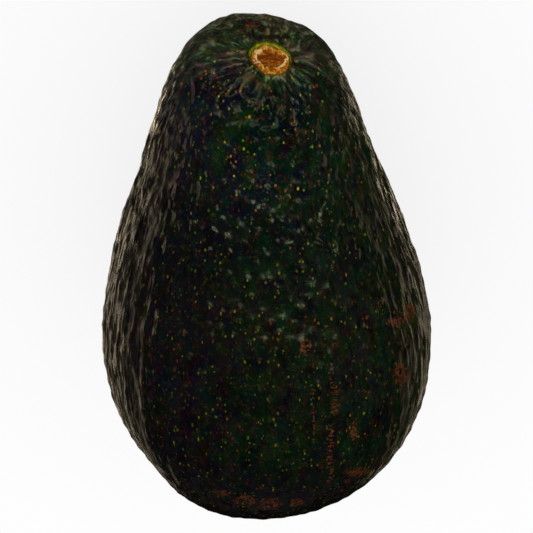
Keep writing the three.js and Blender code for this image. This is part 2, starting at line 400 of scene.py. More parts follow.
# %% Seeds and domes
COLUMNS = 396
SKIN_ROWS = 240
ROW_EASE = 1.3  # above 1 crowds the rings together at the lip
PEBBLE_SPACING = np.array([2.5, 2.9, 2.5])  # least distance across, along and up
PEBBLE_TRIES = 14000
PEBBLE_WIDTH = 0.43  # of a dome, as a share of the spacing
PEBBLES_BEGIN = (6.0, 13.0)  # mm on the skin from the scar's middle
PEBBLES_END = (150.0, 176.0)  # degrees away from the scar
BLOCK = 4000  # places that are looked up at a time, to spare memory


def polar_grid(rows, columns):
    """Two arrays with a share from 0 to 1 for each row and an angle for each column."""
    return np.meshgrid(
        np.linspace(0, 1, rows), np.arange(columns) * 2 * np.pi / columns, indexing="ij")


def scattered(place, area):
    """Random places, likelier where the area is large, and none too near to another."""
    random = np.random.default_rng(11)
    picks = random.choice(len(place), PEBBLE_TRIES, p=area / area.sum())
    kept, homes = [], {}
    for pick, spot in zip(picks, place[picks] / PEBBLE_SPACING):
        home = np.floor(spot).astype(int)
        around_it = [homes.get(tuple(home + step), ()) for step in STEPS]
        if all(np.sum((spot - other) ** 2) > 1 for others in around_it for other in others):
            homes.setdefault(tuple(home), []).append(spot)
            kept.append(pick)
    return place[kept]


def skin_area(away, around):
    """The area that each point of the smooth grid has, from the steps to its neighbours."""
    point = smooth_point(grid_direction(away, around))
    return np.linalg.norm(np.cross(*np.gradient(point, axis=(0, 1))), axis=-1)


def nearest_seeds(places, count):
    """The nearest seeds to each place and their distances, from a table of every pair."""
    spots = (places / PEBBLE_SPACING).reshape(-1, 3)
    homes = seeds / PEBBLE_SPACING
    found = []
    for block in np.array_split(spots, len(spots) // BLOCK + 1):
        apart = (block ** 2).sum(-1)[:, None] + (homes ** 2).sum(-1) - 2 * block @ homes.T
        which = np.argpartition(apart, count - 1, axis=1)[:, :count]
        found.append((which, np.sqrt(np.maximum(0, np.take_along_axis(apart, which, 1)))))
    return [np.concatenate(part) for part in zip(*found)]


def domes(place):
    """The sum of the three nearest domes at each place, each with a height of its own."""
    which, distance = nearest_seeds(place, 3)
    heights = (0.3 + 0.7 * seed_luck[which, 0]) * bell(distance, 0, PEBBLE_WIDTH)
    return heights.sum(-1).reshape(place.shape[:-1])


def pebble_bounds(radius, away):
    """One where the pebbles are whole: they fade out round the scar and at the blossom end."""
    return eased(radius, *PEBBLES_BEGIN) * (1 - eased(np.degrees(away), *PEBBLES_END))


STEPS = np.array(list(product((-1, 0, 1), repeat=3)))
share, around = polar_grid(SKIN_ROWS, COLUMNS)
away = np.pi * share ** ROW_EASE
seeds = scattered(
    straightened(grid_direction(away, around)).reshape(-1, 3), skin_area(away, around).ravel())
seed_luck = np.random.default_rng(12).random((len(seeds), 3))  # for height, spot and tone
print("pebbles:", len(seeds))

# %% [markdown]
# ## The skin's points
#
# The first rings line the socket, and the rest run from its edge over the whole fruit. The
# heights are added up and raised on the smooth pear. They die away by the floor, where the fruit
# has a small flat spot, and the socket's edge is drawn in to meet its wall. Subdividing the plain
# solid would keep its facets, so the grid is worked out afresh.

# %% Socket and skin
PEBBLE_HEIGHT = 0.28
SKIN_LIFT = 0.15  # what the skin's relief adds on the whole
SPOT_FADE = 3  # height above the floor where the relief is whole
BUTTON_SUNK = 0.7
BUTTON_HEIGHT = 2.4
SOCKET_GAP = 0.1  # nearly closed, where the solids keep 0.35
SOCKET_EDGE = -0.5  # height of the top of the socket's wall
SOCKET_FLOOR = -BUTTON_SUNK - BUTTON_HEIGHT - SOCKET_GAP
SOCKET_ROWS = 9
CALM = (105, 135)  # degrees from the scar between which the skin grows calmer


def socket_rows():
    """The socket's floor from its middle outwards, and then its wall up to the edge."""
    share, around = polar_grid(SOCKET_ROWS, COLUMNS)
    width = np.clip(share * 2, 0, 1)
    rise = np.clip(share * 2 - 1, 0, 1)
    height = SOCKET_FLOOR + (SOCKET_EDGE - SOCKET_FLOOR) * rise
    return scar_point(width * (button_radius(around) + SOCKET_GAP), around, height)


def skin_rows():
    """The skin from the socket's edge to the blossom end, with facts about each point."""
    share, around = polar_grid(SKIN_ROWS, COLUMNS)
    edge = (button_radius(around) + SOCKET_GAP) / STEM_SCALE
    away = edge + (np.pi - edge) * share ** ROW_EASE
    radius = away * STEM_SCALE
    direction = grid_direction(away, around)
    normal = smooth_normal(direction)
    point = smooth_point(direction) + normal * swell_lift(direction)[..., None]
    place = straightened(direction)
    raised = domes(place) * pebble_bounds(radius, away)
    fold = folds(radius, around)
    ridged = RIDGE_HEIGHT * eased(radius, 15, 40) * (0.3 + 0.7 * facing_sideways(normal))
    uneven = ridged * ridges(place) + lumps(place) * eased(radius, 5.5, 20)
    lift = SKIN_LIFT + PEBBLE_HEIGHT * raised + fold
    lift = lift + uneven * (1 - 0.7 * eased(np.degrees(away), *CALM))
    lift = lift + lip(radius, around) + blossom((np.pi - away) * BLOSSOM_SCALE)
    point = point + normal * (lift * eased(point[..., 2], 0, SPOT_FADE))[..., None]
    rim = scar_point(button_radius(around[0]) + SOCKET_GAP, around[0], SOCKET_EDGE)
    settle = 1 - eased(radius - radius[0], 0, 0.6)
    point = point + settle[..., None] * (rim - point[0])
    point[..., 2] = np.maximum(point[..., 2], 0)
    return point, normal, radius, around, raised, place, fold


point, normal, radius, around, raised, place, fold = skin_rows()
socket = socket_rows()[:-1]
print("skin, mm:", np.ptp(point.reshape(-1, 3), axis=0).round(1))

# %% [markdown]
# ## Rings made into a closed mesh
#
# Skin and button are both rings of points whose first and last ring are one point. Spinning a
# profile would leave doubled points and a seam. Here the faces join the last column to the first,
# and a fan closes each end. The piece is then hung on the body it rides on, and the solid it
# takes over from is hidden.

# %% The skin's mesh


def flat_list(rings):
    """The points of rings in a row, with the first and the last ring as one point each."""
    middle = rings[1:-1].reshape(-1, *rings.shape[2:])
    return np.concatenate([rings[:1, 0], middle, rings[-1:, 0]])


def closed_faces(rows, columns):
    """Quads between the rings, and a fan of triangles from each end's single point."""
    ring = np.arange(rows * columns).reshape(rows, columns) + 1
    after = np.roll(ring, -1, axis=1)
    quads = np.stack([ring[:-1], ring[1:], after[1:], after[:-1]], -1).reshape(-1, 4)
    first = np.stack([np.zeros(columns, int), ring[0], after[0]], -1)
    last = np.stack([ring[-1], np.full(columns, rows * columns + 1), after[-1]], -1)
    return quads, np.concatenate([first, last])


def make_surface(name, points):
    """A closed mesh over rings of points, whose first and last rings are single points."""
    quads, fans = closed_faces(points.shape[0] - 2, points.shape[1])
    mesh = bpy.data.meshes.new(name)
    mesh.from_pydata(flat_list(points) * MM, [], quads.tolist() + fans.tolist())
    mesh.shade_smooth()
    piece = bpy.data.objects.new(name, mesh)
    bpy.context.scene.collection.objects.link(piece)
    print(name, "faces:", len(mesh.polygons))
    return piece


skin = make_surface("avocado_skin", np.concatenate([socket, point]))
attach(skin, "root")
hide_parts("avocado_fruit")

# %% [markdown]
# ## Marks on the skin
#
# Dry brown scuffs, ladder-like scratches and stains each belong to one place. They could be
# painted into an image, but a short list of ovals and strokes can be moved by a number. They are
# placed on a chart of the upper side, in mm to the right and up as the viewer sees them, and kept
# on the skin's points, so they stay put when the fruit is seen from elsewhere.

# %% Scuffs, scratches and strokes
SCUFFS = [  # right, up, half width and half height, in mm
    (8.2, -17.4, 1.7, 1.9), (10.4, -12.4, 0.5, 1.6), (12.9, -13.1, 0.4, 0.7),
    (14.7, -17.0, 1.0, 0.7), (30.9, -9.8, 1.6, 2.2), (28.0, -12.0, 2.2, 1.4),
    (28.9, -23.1, 1.9, 2.8), (21.1, -27.0, 1.6, 0.6), (21.8, -11.1, 0.5, 1.2),
    (19.1, -20.5, 0.5, 0.7), (18.8, -36.0, 1.0, 2.2), (19.2, -44.5, 2.4, 1.2),
    (-9.4, -49.0, 2.2, 0.8), (-4.6, -50.6, 2.9, 1.2), (0.6, -51.4, 3.4, 1.3),
    (6.4, -51.0, 1.9, 0.8), (17.5, -46.4, 0.9, 0.8), (21.8, -44.2, 1.1, 0.5),
    (10.5, 38.9, 0.7, 0.8), (-4.2, 43.6, 0.3, 0.2), (-4.4, 40.6, 0.2, 0.3),
    (2.7, 40.7, 0.2, 0.2), (-3.2, 52.2, 2.0, 0.5), (2.2, 54.2, 2.6, 0.45),
]
SCRATCHES = [  # right, top, bottom and half width, in mm
    (14.0, -20.4, -26.5, 0.45), (14.7, -26.0, -32.2, 1.2), (13.9, -34.0, -47.5, 0.8),
    (10.1, -20.5, -29.0, 0.25), (10.1, -29.8, -36.6, 0.4),
]
STROKES = {  # right and up of both ends, and half width, in mm
    "tan": [
        (-4.4, 42.0, -5.7, 37.7, 0.45), (-6.2, 40.7, -8.7, 37.1, 0.30),
        (5.3, 47.2, 5.9, 48.9, 0.55), (5.6, 45.1, 9.8, 45.3, 0.28),
        (9.8, 45.3, 12.0, 43.5, 0.32), (12.0, 43.5, 14.2, 40.8, 0.28),
        (-4.4, 35.9, -2.4, 35.4, 0.22), (-2.2, 40.0, 0.6, 38.6, 0.35),
        (-11.0, 35.2, -9.2, 32.2, 0.30), (-1.0, 54.2, 4.8, 53.8, 0.45),
        (5.8, 33.8, 6.9, 26.5, 0.40), (4.6, 31.2, 6.2, 30.6, 0.45),
    ],
    "dark": [
        (-4.5, 53.0, -1.2, 51.6, 1.10), (4.4, 39.2, 4.4, 33.8, 0.30),
        (-1.8, 49.6, 4.6, 49.6, 0.50), (-4.0, 44.2, -1.0, 41.0, 0.30),
        (4.9, 44.0, 8.2, 43.4, 0.35), (-9.0, 42.6, -4.6, 43.6, 0.30),
        (-9.5, 40.0, -4.8, 42.4, 0.30), (-2.8, 49.8, -3.0, 52.2, 0.35),
    ],
}
SOFT_END = 0.6  # mm over which a scratch begins and ends


def chart_of(point, normal):
    """Where a line from the eye meets the middle plane, and one where the skin faces the eye."""
    from_eye = point * MM - EYE
    scale = DISTANCE / MM / -(from_eye @ BACK)
    toward_eye = -np.sum(normal * from_eye, -1) / np.linalg.norm(from_eye, axis=-1)
    facing = eased(toward_eye, -0.05, 0.08)
    return (from_eye @ RIGHT) * scale, (from_eye @ VIEW_UP) * scale, facing


def scuffed(right, up):
    """The strongest of the scuffs at each place, each an oval that fades at its edge."""
    ovals = [np.hypot((right - x) / w, (up - y) / h) for x, y, w, h in SCUFFS]
    return np.max([1 - eased(oval, 0.6, 1.5) for oval in ovals], axis=0)


def scratched(right, up):
    """The strongest of the upright scratches at each place, each with soft ends and sides."""
    return np.max([
        bell(right, x, width) * eased(up, bottom - SOFT_END, bottom + SOFT_END)
        * (1 - eased(up, top - SOFT_END, top + SOFT_END))
        for x, top, bottom, width in SCRATCHES], axis=0)


def stroked(right, up, kind):
    """The strongest of one kind of strokes: one on a line, and soft at its sides and ends."""
    strokes = []
    for x, y, end_x, end_y, width in STROKES[kind]:
        way_x, way_y = end_x - x, end_y - y
        t = np.clip(((right - x) * way_x + (up - y) * way_y) / (way_x ** 2 + way_y ** 2), 0, 1)
        strokes.append(bell(np.hypot(right - x - t * way_x, up - y - t * way_y), 0, width))
    return np.max(strokes, axis=0)


right, up, facing = chart_of(point, normal)
marks = {"scuff": scuffed(right, up), "scratch": scratched(right, up)}
marks.update({kind: stroked(right, up, kind) for kind in STROKES})
print("points marked:", {name: int((mark * facing > 0.5).sum()) for name, mark in marks.items()})

# %% [markdown]
# ## Facts for the skin's material
#
# Colour and gloss go with the fruit's form. It is duskiest on one side and at the blossom end,
# green, furrowed and drawn out in strands near the stem, wavy with soft bumps on its upper half,
# and dull in a hollow below the stem, where its colour is also darkened as painted shade. A
# pattern in a material can't know that, so each fact is stored as a number on every point.

# %% Numbers on the skin's points
THROAT = (31, 15, 12)  # up, half width and half height of the hollow below the stem, in mm
OPEN_SKIN = (6, 30)  # mm from the blossom end: the strands gather before it
FULL_IN_SOCKET = ("near_stem", "upper", "waxed", "on_lip")
CORE_HEIGHT = 35  # mm above the floor


def note(piece, name, values):
    """Stores a number or a vector for each point of a mesh, where the material can read it."""
    kept = flat_list(values).astype(np.float32)
    kind, field = ("FLOAT", "value") if kept.ndim == 1 else ("FLOAT_VECTOR", "vector")
    attribute = piece.data.attributes.new(name, kind, "POINT")
    attribute.data.foreach_set(field, kept.ravel())


def strands(point, radius, around):
    """A place for long grain: it narrows towards the scar as the root of the girth does."""
    girth_there = np.hypot(point[..., 0], point[..., 2] - CORE_HEIGHT)
    width = 2.6 * np.sqrt(np.minimum(girth_there, radius + 0.1))
    return np.stack([width * np.cos(around), radius / 11, width * np.sin(around)], -1)


away = radius / STEM_SCALE
outside = radius - button_radius(around)
lip_end = lip_width(around)
flank = facing_sideways(normal)
past_lip = eased(radius, 6, 12)
near_stem = np.maximum(eased(up, 38, 52), 1 - eased(radius, 4.5, 9.5))
throat = bell(np.hypot(right / THROAT[1], (up - THROAT[0]) / THROAT[2]), 0, 1)
open_skin = eased((np.pi - away) * BLOSSOM_SCALE, *OPEN_SKIN)
smooth_neck = eased(up, 15, 32) * (1 - eased(up, 38, 46))
drawn = (1 - 0.6 * smooth_neck) * (1 - 0.5 * flank) + 0.6 * near_stem
bumpy = (0.10 + 0.90 * eased(up, -4, 9)) * past_lip * (1 - 0.75 * flank) * (1 + 0.5 * throat)
facts = {
    "raised": raised,
    "fold": fold,
    "near_stem": near_stem,
    "on_lip": 1 - eased(outside, lip_end - 0.6, lip_end + 1.0),
    "upper": eased(up, -14, 6) * past_lip,
    "waxed": 1 - 0.7 * throat,
    "dusky": np.maximum(eased(-point[..., 0], -8, 26), eased(-up, 43, 51)),
    "uneven": bumpy,
    "drawn": drawn * (0.15 + 0.85 * open_skin),
    "furrowed": np.maximum(flank * open_skin, 0.8 * near_stem * eased(outside, 0.5, 2.0)),
    "rough_start": pebble_bounds(radius, away) * (1 - 0.8 * flank),
    "chart_right": right,
    "chart_up": up,
    "strand": strands(point, radius, around),
}
facts.update({name: mark * facing for name, mark in marks.items()})
for name, values in facts.items():
    in_socket = np.full((*socket.shape[:-1], *values.shape[2:]), float(name in FULL_IN_SOCKET))
    note(skin, name, np.concatenate([in_socket, values]))
print("facts on each point:", ", ".join(facts))

# %% [markdown]
# ## The seed under each face
#
# A corky spot sits on top of each pebble. A Voronoi texture has seeds of its own that would miss
# the pebbles. Instead each face keeps its nearest seed's random numbers, for the spot's size and
# tone, and each of its corners the way from the seed to it. The socket's faces are far off.

# %% Seeds on the skin's faces
FAR_OFF = 1e3  # mm


def note_seeds(mesh, place):
    """For each face, the nearest seed to its middle: the way from it, its size and its tone."""
    corner, count = np.empty(len(mesh.loops), int), np.empty(len(mesh.polygons), int)
    mesh.loops.foreach_get("vertex_index", corner)
    mesh.polygons.foreach_get("loop_total", count)
    face = np.repeat(np.arange(len(count)), count)
    middle = np.zeros((len(count), 3))
    np.add.at(middle, face, place[corner])
    nearest = nearest_seeds(middle / count[:, None], 1)[0][:, 0]
    offset = mesh.attributes.new("from_seed", "FLOAT_VECTOR", "CORNER")
    way = place[corner] - seeds[nearest[face]]
    offset.data.foreach_set("vector", way.astype(np.float32).ravel())
    for name, column in (("seed_size", 1), ("seed_tone", 2)):
        attribute = mesh.attributes.new(name, "FLOAT", "FACE")
        attribute.data.foreach_set("value", seed_luck[nearest, column].astype(np.float32))
    print("seeds met by a face:", len(np.unique(nearest)))


note_seeds(skin.data, flat_list(np.concatenate([np.full(socket.shape, FAR_OFF), place])))

# %% [markdown]
# ## The stem button
#
# What is left of the stem is a dry plug of wood about 8 mm across, with a corky rim, a pale ring
# and a middle that has sunk and torn into fibres. It could be sculpted over a cylinder, but rings
# of points with a height for each place give the same control. The numbers that made the shape go
# to the material too: what stands up is painted lighter, as painted highlight, and what has sunk
# is painted darker, as painted shade.

# %% The button's surface
BUTTON_COLUMNS = 220
FACE_ROWS = 100
UNDER_ROWS = 16
BUTTON_FIT = 0.06  # how far the cork has spread into the gap
BUTTON_RISE = 0.3  # how far the broken face stands up
HOLLOW_DEPTH = 0.9
HOLLOW_SHAPE = (2.75, 2.0)  # half width to the right, and half height
HOLLOW_MIDDLE = (0.1, 0.45)
HOLLOW_EDGE = (0.62, 1.15)  # on the hollow's oval, where it is deepest and where it ends
PALE_RING = (1.20, 0.22)  # where it lies on the hollow's oval, and its half width
RING_TURN = 0.30  # radians that its widest places are turned by


def button_face(share, around):
    """Height over the face: a rounded rim, a sunken oval, and grain and fibres on both."""
    seen = from_right(around)
    fit = BUTTON_FIT * (0.4 + 0.6 * np.cos(0.5 * (seen - 0.9)) ** 2)
    radius = share * (button_radius(around) + fit - 0.30 * toward(around, 226, 7))
    across, upward = radius * np.cos(seen), radius * np.sin(seen)
    flat = np.stack([across, upward, 0 * across], -1)
    oval = 0.22 * soft_noise(flat, 1.1, 41) + np.hypot(
        (across - HOLLOW_MIDDLE[0]) / HOLLOW_SHAPE[0],
        (upward - HOLLOW_MIDDLE[1]) / HOLLOW_SHAPE[1])
    hollow = 1 - eased(oval, *HOLLOW_EDGE)
    bent = np.stack([across, upward + 0.12 * across ** 2, 0 * across], -1)
    # The lower half gets half a unit more: it stands a little higher, and the wood paints the
    # upper half of the hollow darker, as painted shade.
    fibres = soft_noise(bent, np.array([0.9, 0.22, 1.0]), 42) + 0.5 * (upward < HOLLOW_MIDDLE[1])
    crumbs = soft_noise(flat, 0.36, 43) + 0.8 * soft_noise(flat, 0.18, 44)
    torn = soft_noise(flat, 0.9, 45)
    height = -HOLLOW_DEPTH * hollow - 0.45 * eased(share, 0.88, 1.0) ** 2
    height = height + hollow * (0.17 * fibres + 0.12 * torn)
    height = height + (1 - hollow) * (0.085 * crumbs + 0.1 * torn)
    return radius, height, hollow, fibres, crumbs, oval


share, turn = polar_grid(FACE_ROWS, BUTTON_COLUMNS)
face_radius, face_height, hollow, fibres, crumbs, oval = button_face(share, turn)
under_share, under_turn = polar_grid(UNDER_ROWS, BUTTON_COLUMNS)
narrowing = 1 - eased(under_share, 0.4, 1)
bottom = -BUTTON_HEIGHT - BUTTON_RISE
depth = face_height[-1] + (bottom - face_height[-1]) * eased(under_share, 0, 0.6)
face = scar_point(face_radius, turn, face_height)
under = scar_point(face_radius[-1] * narrowing, under_turn, depth)[1:]
sunk = (BUTTON_RISE - BUTTON_SUNK) * scar_directions[2]
button = make_surface("stem_button_detail", np.concatenate([face, under]) + sunk)
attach(button, "root")
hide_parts("stem_button")

widest = np.abs(np.cos(from_right(turn) + RING_TURN)) ** 3
for name, values, below in (
        ("hollow", hollow, 0), ("fibre", fibres, 0), ("crumb", crumbs, 0),
        ("pale_ring", bell(oval, *PALE_RING) * (0.04 + 1.04 * widest), 0),
        ("bark", eased(share, 0.9, 0.99), 1)):
    note(button, name, np.concatenate([values, np.full(under.shape[:-1], float(below))]))
print("share of the face that has sunk:", round(float(hollow.mean()), 2))

# %% [markdown]
# ## Short ways to wire a material
#
# Materials are node trees, and a tree built in code is mostly the same three steps: make a node,
# set its values, join its sockets. A small class turns each into a recipe: every step gives back
# an output that the next one takes in. Sizes in the recipes are mm.

# %% A recipe of nodes


class Recipe:
    """A node tree with short ways to add a step, each of which gives back its output."""

    def __init__(self, tree):
        self.tree = tree

    def node(self, kind, inputs=(), **settings):
        """A node with its settings, and inputs that are numbers, colours or other outputs."""
        made = self.tree.nodes.new("ShaderNode" + kind)
        for name, value in settings.items():
            setattr(made, name, value)
        for place, value in dict(inputs).items():
            if isinstance(value, bpy.types.NodeSocket):
                self.tree.links.new(value, made.inputs[place])
            else:
                made.inputs[place].default_value = value
        return made

    def math(self, operation, *values):
        return self.node("Math", enumerate(values), operation=operation).outputs[0]

    def plus(self, one, other):
        return self.math("ADD", one, other)

    def less(self, one, other):
        return self.math("SUBTRACT", one, other)

    def times(self, one, other):
        return self.math("MULTIPLY", one, other)

    def most(self, one, other):
        return self.math("MAXIMUM", one, other)

    def line(self, value, slope, start):
        """The value times the slope, and the start added."""
        return self.math("MULTIPLY_ADD", value, slope, start)

    def mask(self, value, low, high):
        """A mask that eases from 0 at the low value to 1 at the high one."""
        sockets = {"Value": value, "From Min": low, "From Max": high}
        made = self.node("MapRange", sockets, interpolation_type="SMOOTHSTEP")
        return made.outputs["Result"]

    def over(self, mask, under, over):
        """One colour over another where the mask is 1."""
        colours = [(*c, 1) if isinstance(c, tuple) else c for c in (under, over)]
        sockets = {0: mask, 6: colours[0], 7: colours[1]}
        return self.node("Mix", sockets, data_type="RGBA").outputs[2]

    def told(self, name, output="Fac"):
        """A fact stored on the mesh: a number, or its vector."""
        return self.node("Attribute", attribute_name=name).outputs[output]

    def vector(self, operation, *values, output="Vector"):
        """One step of arithmetic on vectors or colours."""
        made = self.node("VectorMath", enumerate(values), operation=operation)
        return made.outputs[output]

    def spread(self, place, scale, shift=(0, 0, 0)):
        """The place scaled along each axis, so that a pattern on it stretches."""
        sockets = {"Vector": place, "Scale": scale, "Location": shift}
        return self.node("Mapping", sockets).outputs[0]

    def noise(self, place, scale, detail, roughness, output="Fac"):
        """Cloudy noise with so many bumps for each mm."""
        sockets = {"Vector": place, "Scale": scale, "Detail": detail, "Roughness": roughness}
        return self.node("TexNoise", sockets).outputs[output]


print("kinds of step:", len([name for name in vars(Recipe) if not name.startswith("_")]))

# %% [markdown]
# ## Grain, shared by skin and wood
#
# Both finishes need soft patches that vary the colour, and a fine grain that breaks up the
# surface, at different sizes. So the grain is one node group with its own inputs, used in each
# material with other values, and a change to it is made once.

# %% The grain group
PATCH_DETAIL = 3.0
GRAIN_DETAIL = 4.0
GRAIN_ROUGHNESS = 0.6


def make_grain_group():
    """Noise at two sizes: broad patches from 0 to 1, and a fine height from 0 to 1."""
    group = bpy.data.node_groups.new("grain", "ShaderNodeTree")
    for name, kind in (("Place", "Vector"), ("Patch size", "Float"), ("Grain size", "Float")):
        group.interface.new_socket(name, in_out="INPUT", socket_type="NodeSocket" + kind)
    for name in ("Patches", "Grain"):
        group.interface.new_socket(name, in_out="OUTPUT", socket_type="NodeSocketFloat")
    r = Recipe(group)
    given = group.nodes.new("NodeGroupInput").outputs
    result = group.nodes.new("NodeGroupOutput").inputs
    for output, size, detail in (
            ("Patches", "Patch size", PATCH_DETAIL), ("Grain", "Grain size", GRAIN_DETAIL)):
        scale = r.math("DIVIDE", 1.0, given[size])
        group.links.new(r.noise(given["Place"], scale, detail, GRAIN_ROUGHNESS), result[output])
    return group


grain_group = make_grain_group()


def grain(r, place, patch_size, grain_size):
    """The grain group in a material, with its own sizes in mm."""
    sockets = {"Place": place, "Patch size": patch_size, "Grain size": grain_size}
    made = r.node("Group", sockets, node_tree=grain_group)
    return made.outputs["Patches"], made.outputs["Grain"]


def new_material(name):
    """An empty material's recipe, its main shader and the object's place in mm."""
    material = bpy.data.materials.new(name)
    material.use_nodes = True
    material.node_tree.nodes.clear()
    r = Recipe(material.node_tree)
    shader = r.node("BsdfPrincipled")
    r.node("OutputMaterial", {"Surface": shader.outputs["BSDF"]})
    coordinates = r.node("TexCoord").outputs["Object"]
    place = r.node("VectorMath", {0: coordinates, "Scale": 1 / MM}, operation="SCALE")
    return material, r, shader, place.outputs[0]


print("grain:", [item.name for item in grain_group.interface.items_tree])

# %% [markdown]
# ## Spots and scuffs
#
# Small corky breathing spots, from yellow-green to rust, lie all over the skin: one on each
# pebble, and finer ones between, which a Voronoi texture scatters. Scuffs and scratches are
# healed brown skin. Their places are on the points already, and noise breaks them up into crumbs
# or rungs.

# %% Masks for spots and scuffs
FINE_SPOTS = (1.0, 0.65, 1.0)  # cells for each mm, across, along and up
FINE_REACH = 0.16  # of a spot's size, at the least and again by chance
FINE_SHARE = 0.40  # of the cells that stay without a spot
SEED_DOME = 0.52  # of the spacing, where a pebble's dome ends in the bump
SPOT_STRETCH = (1.1, 0.5, 1.1)
SPOT_COLOURS = [  # where each tone starts, and its colour
    (0.0, (0.12, 0.20, 0.003)), (0.24, (0.36, 0.36, 0.004)), (0.42, (0.05, 0.09, 0.004)),
    (0.58, (0.36, 0.16, 0.004)), (0.72, (0.25, 0.035, 0.004)), (0.87, (0.10, 0.008, 0.006)),
]


def fine_spots(r, place):
    """Round spots on low domes of their own: the parts of cells within reach of their seeds."""
    cells = r.node("TexVoronoi", {"Vector": r.spread(place, FINE_SPOTS), "Scale": 1.0})
    distance = cells.outputs["Distance"]
    tone = r.node("SeparateColor", {"Color": cells.outputs["Color"]}).outputs
    size = r.line(tone["Green"], FINE_REACH, FINE_REACH)
    inner = r.less(1.0, r.math("DIVIDE", distance, size))
    kept = r.mask(tone["Blue"], FINE_SHARE, FINE_SHARE + 0.1)
    dome = r.times(r.mask(distance, 0.75, 0.0), r.line(kept, 0.6, 0.4))
    return r.times(r.mask(inner, 0.0, 0.4), kept), tone["Red"], dome


def seed_spots(r, grit):
    """The spot on top of each pebble, within its own ragged reach of the seed, and its dome."""
    offset = r.told("from_seed", "Vector")
    luck = r.told("seed_size")
    share = r.vector("DIVIDE", offset, list(SEED_DOME * PEBBLE_SPACING))
    share = r.vector("LENGTH", share, output="Value")
    dome = r.math("POWER", r.most(r.less(1.0, r.times(share, share)), 0.0), 2.0)
    offset = r.vector("MULTIPLY", offset, SPOT_STRETCH)
    ragged = r.line(grit, 0.5, r.vector("LENGTH", offset, output="Value"))
    size = r.line(r.told("upper"), -0.08, r.line(r.mask(luck, 0.08, 1.0), 0.15, 0.34))
    spot = r.times(r.mask(r.less(size, ragged), -0.06, 0.12), r.math("GREATER_THAN", luck, 0.12))
    return spot, r.told("seed_tone"), r.times(dome, r.line(luck, 0.7, 0.3))


def spot_colour(r, tone):
    """A colour for each spot, picked by its random tone."""
    ramp = r.node("ValToRGB", {"Fac": tone})
    ramp.color_ramp.interpolation = "CONSTANT"
    stops = ramp.color_ramp.elements
    while len(stops) < len(SPOT_COLOURS):
        stops.new(1.0)
    for stop, (start, colour) in zip(stops, SPOT_COLOURS):
        stop.position, stop.color = start, (*colour, 1)
    return ramp.outputs["Color"]


def scuff_mask(r, place):
    """Scuffs broken up by fine noise, and scratches by noise drawn out sideways."""
    crumb = r.noise(place, 1.2, 4.0, 0.8)
    scuff = r.plus(r.told("scuff"), r.line(crumb, 4.4, -2.65))
    scuff = r.times(r.mask(scuff, 0.45, 0.7), r.mask(r.told("scuff"), 0.0, 0.2))
    chart = r.node("CombineXYZ", {
        "X": r.times(r.told("chart_right"), 0.8), "Y": r.times(r.told("chart_up"), 2.2)})
    rung = r.noise(chart.outputs[0], 1.0, 2.0, 0.5)
    scratch = r.plus(r.told("scratch"), r.line(rung, 3.4, -2.2))
    return r.most(scuff, r.mask(scratch, 0.3, 0.6)), crumb


print("colours of the spots:", len(SPOT_COLOURS))

# %% [markdown]
# ## The skin's colours
#
# The ground is a green so dark that it looks black, with purple where the fruit has ripened most,
# and paler and browner veins by the stem. The low strands near the stem, the creases between the
# folds and the hollow below the stem are darkened as painted shade. Cloudy tints keep it from
# looking painted. Each layer is a mask and a colour over the last, in the order in which they
# would be glazed on.

# %% Ground, tints, stains and lip
BLUE_GREEN = (0.0040, 0.0110, 0.0075)
LEAF_GREEN = (0.0090, 0.0170, 0.0050)
PURPLE_BLACK = (0.0085, 0.0058, 0.0105)
NECK_GREEN = (0.022, 0.046, 0.014)
NECK_BROWN = (0.070, 0.050, 0.028)
NECK_PALE = (0.26, 0.23, 0.12)
FOLD_BROWN = (0.13, 0.085, 0.045)
CREST_OLIVE = (0.020, 0.024, 0.010)
FLECK_OLIVE = (0.055, 0.048, 0.012)
RUSTY = (0.060, 0.014, 0.007)
TAN = (0.15, 0.080, 0.036)
DARK_RED = (0.012, 0.005, 0.007)
LIP_YELLOW = (0.45, 0.38, 0.003)
LIP_GREEN = (0.17, 0.20, 0.002)
LIP_DEEP = (0.010, 0.024, 0.002)
WHITE = (1.0, 1.0, 1.0)
UPPER_TINT = (0.60, 0.85, 1.0)
# painted shade: darkens the ground in the hollow below the stem
THROAT_PAINTED_SHADE = (0.30, 0.45, 0.60)
TINT_CLOUDS = (0.30, 0.17, 0.30)  # for each mm, across, along and up, as for those below
RUSTY_CLOUDS = (0.85, 0.5, 0.85)


def ground_colour(r, patches, mottle, strand):
    """Green to purple-black, olive on the crests, greens, browns and veins by the stem, and
    painted shade in the low strands near the stem and in the fold creases.
    """
    near, fold = r.told("near_stem"), r.told("fold")
    dusk = r.mask(r.plus(r.line(patches, 2.6, -1.3), r.told("dusky")), 0.05, 0.95)
    colour = r.over(r.mask(mottle, 0.42, 0.60), BLUE_GREEN, LEAF_GREEN)
    colour = r.over(dusk, colour, PURPLE_BLACK)
    neck = r.over(r.mask(mottle, 0.42, 0.58), NECK_BROWN, NECK_GREEN)
    for mask, over in (
            (r.times(r.mask(r.told("raised"), 0.35, 1.0), 0.3), CREST_OLIVE),
            (r.times(near, r.mask(patches, 0.30, 0.50)), neck),
            (r.times(near, r.mask(strand, 0.53, 0.64)), NECK_PALE),
            # Painted shade: the low strands near the stem are darkened.
            (r.times(r.times(near, r.mask(strand, 0.50, 0.40)), 0.7), BLUE_GREEN),
            (r.times(r.mask(fold, 0.10, 0.40), 0.6), FOLD_BROWN),
            # Painted shade: the creases between the folds are darkened.
            (r.times(r.mask(fold, -0.06, -0.30), 0.85), BLUE_GREEN)):
        colour = r.over(mask, colour, over)
    return colour


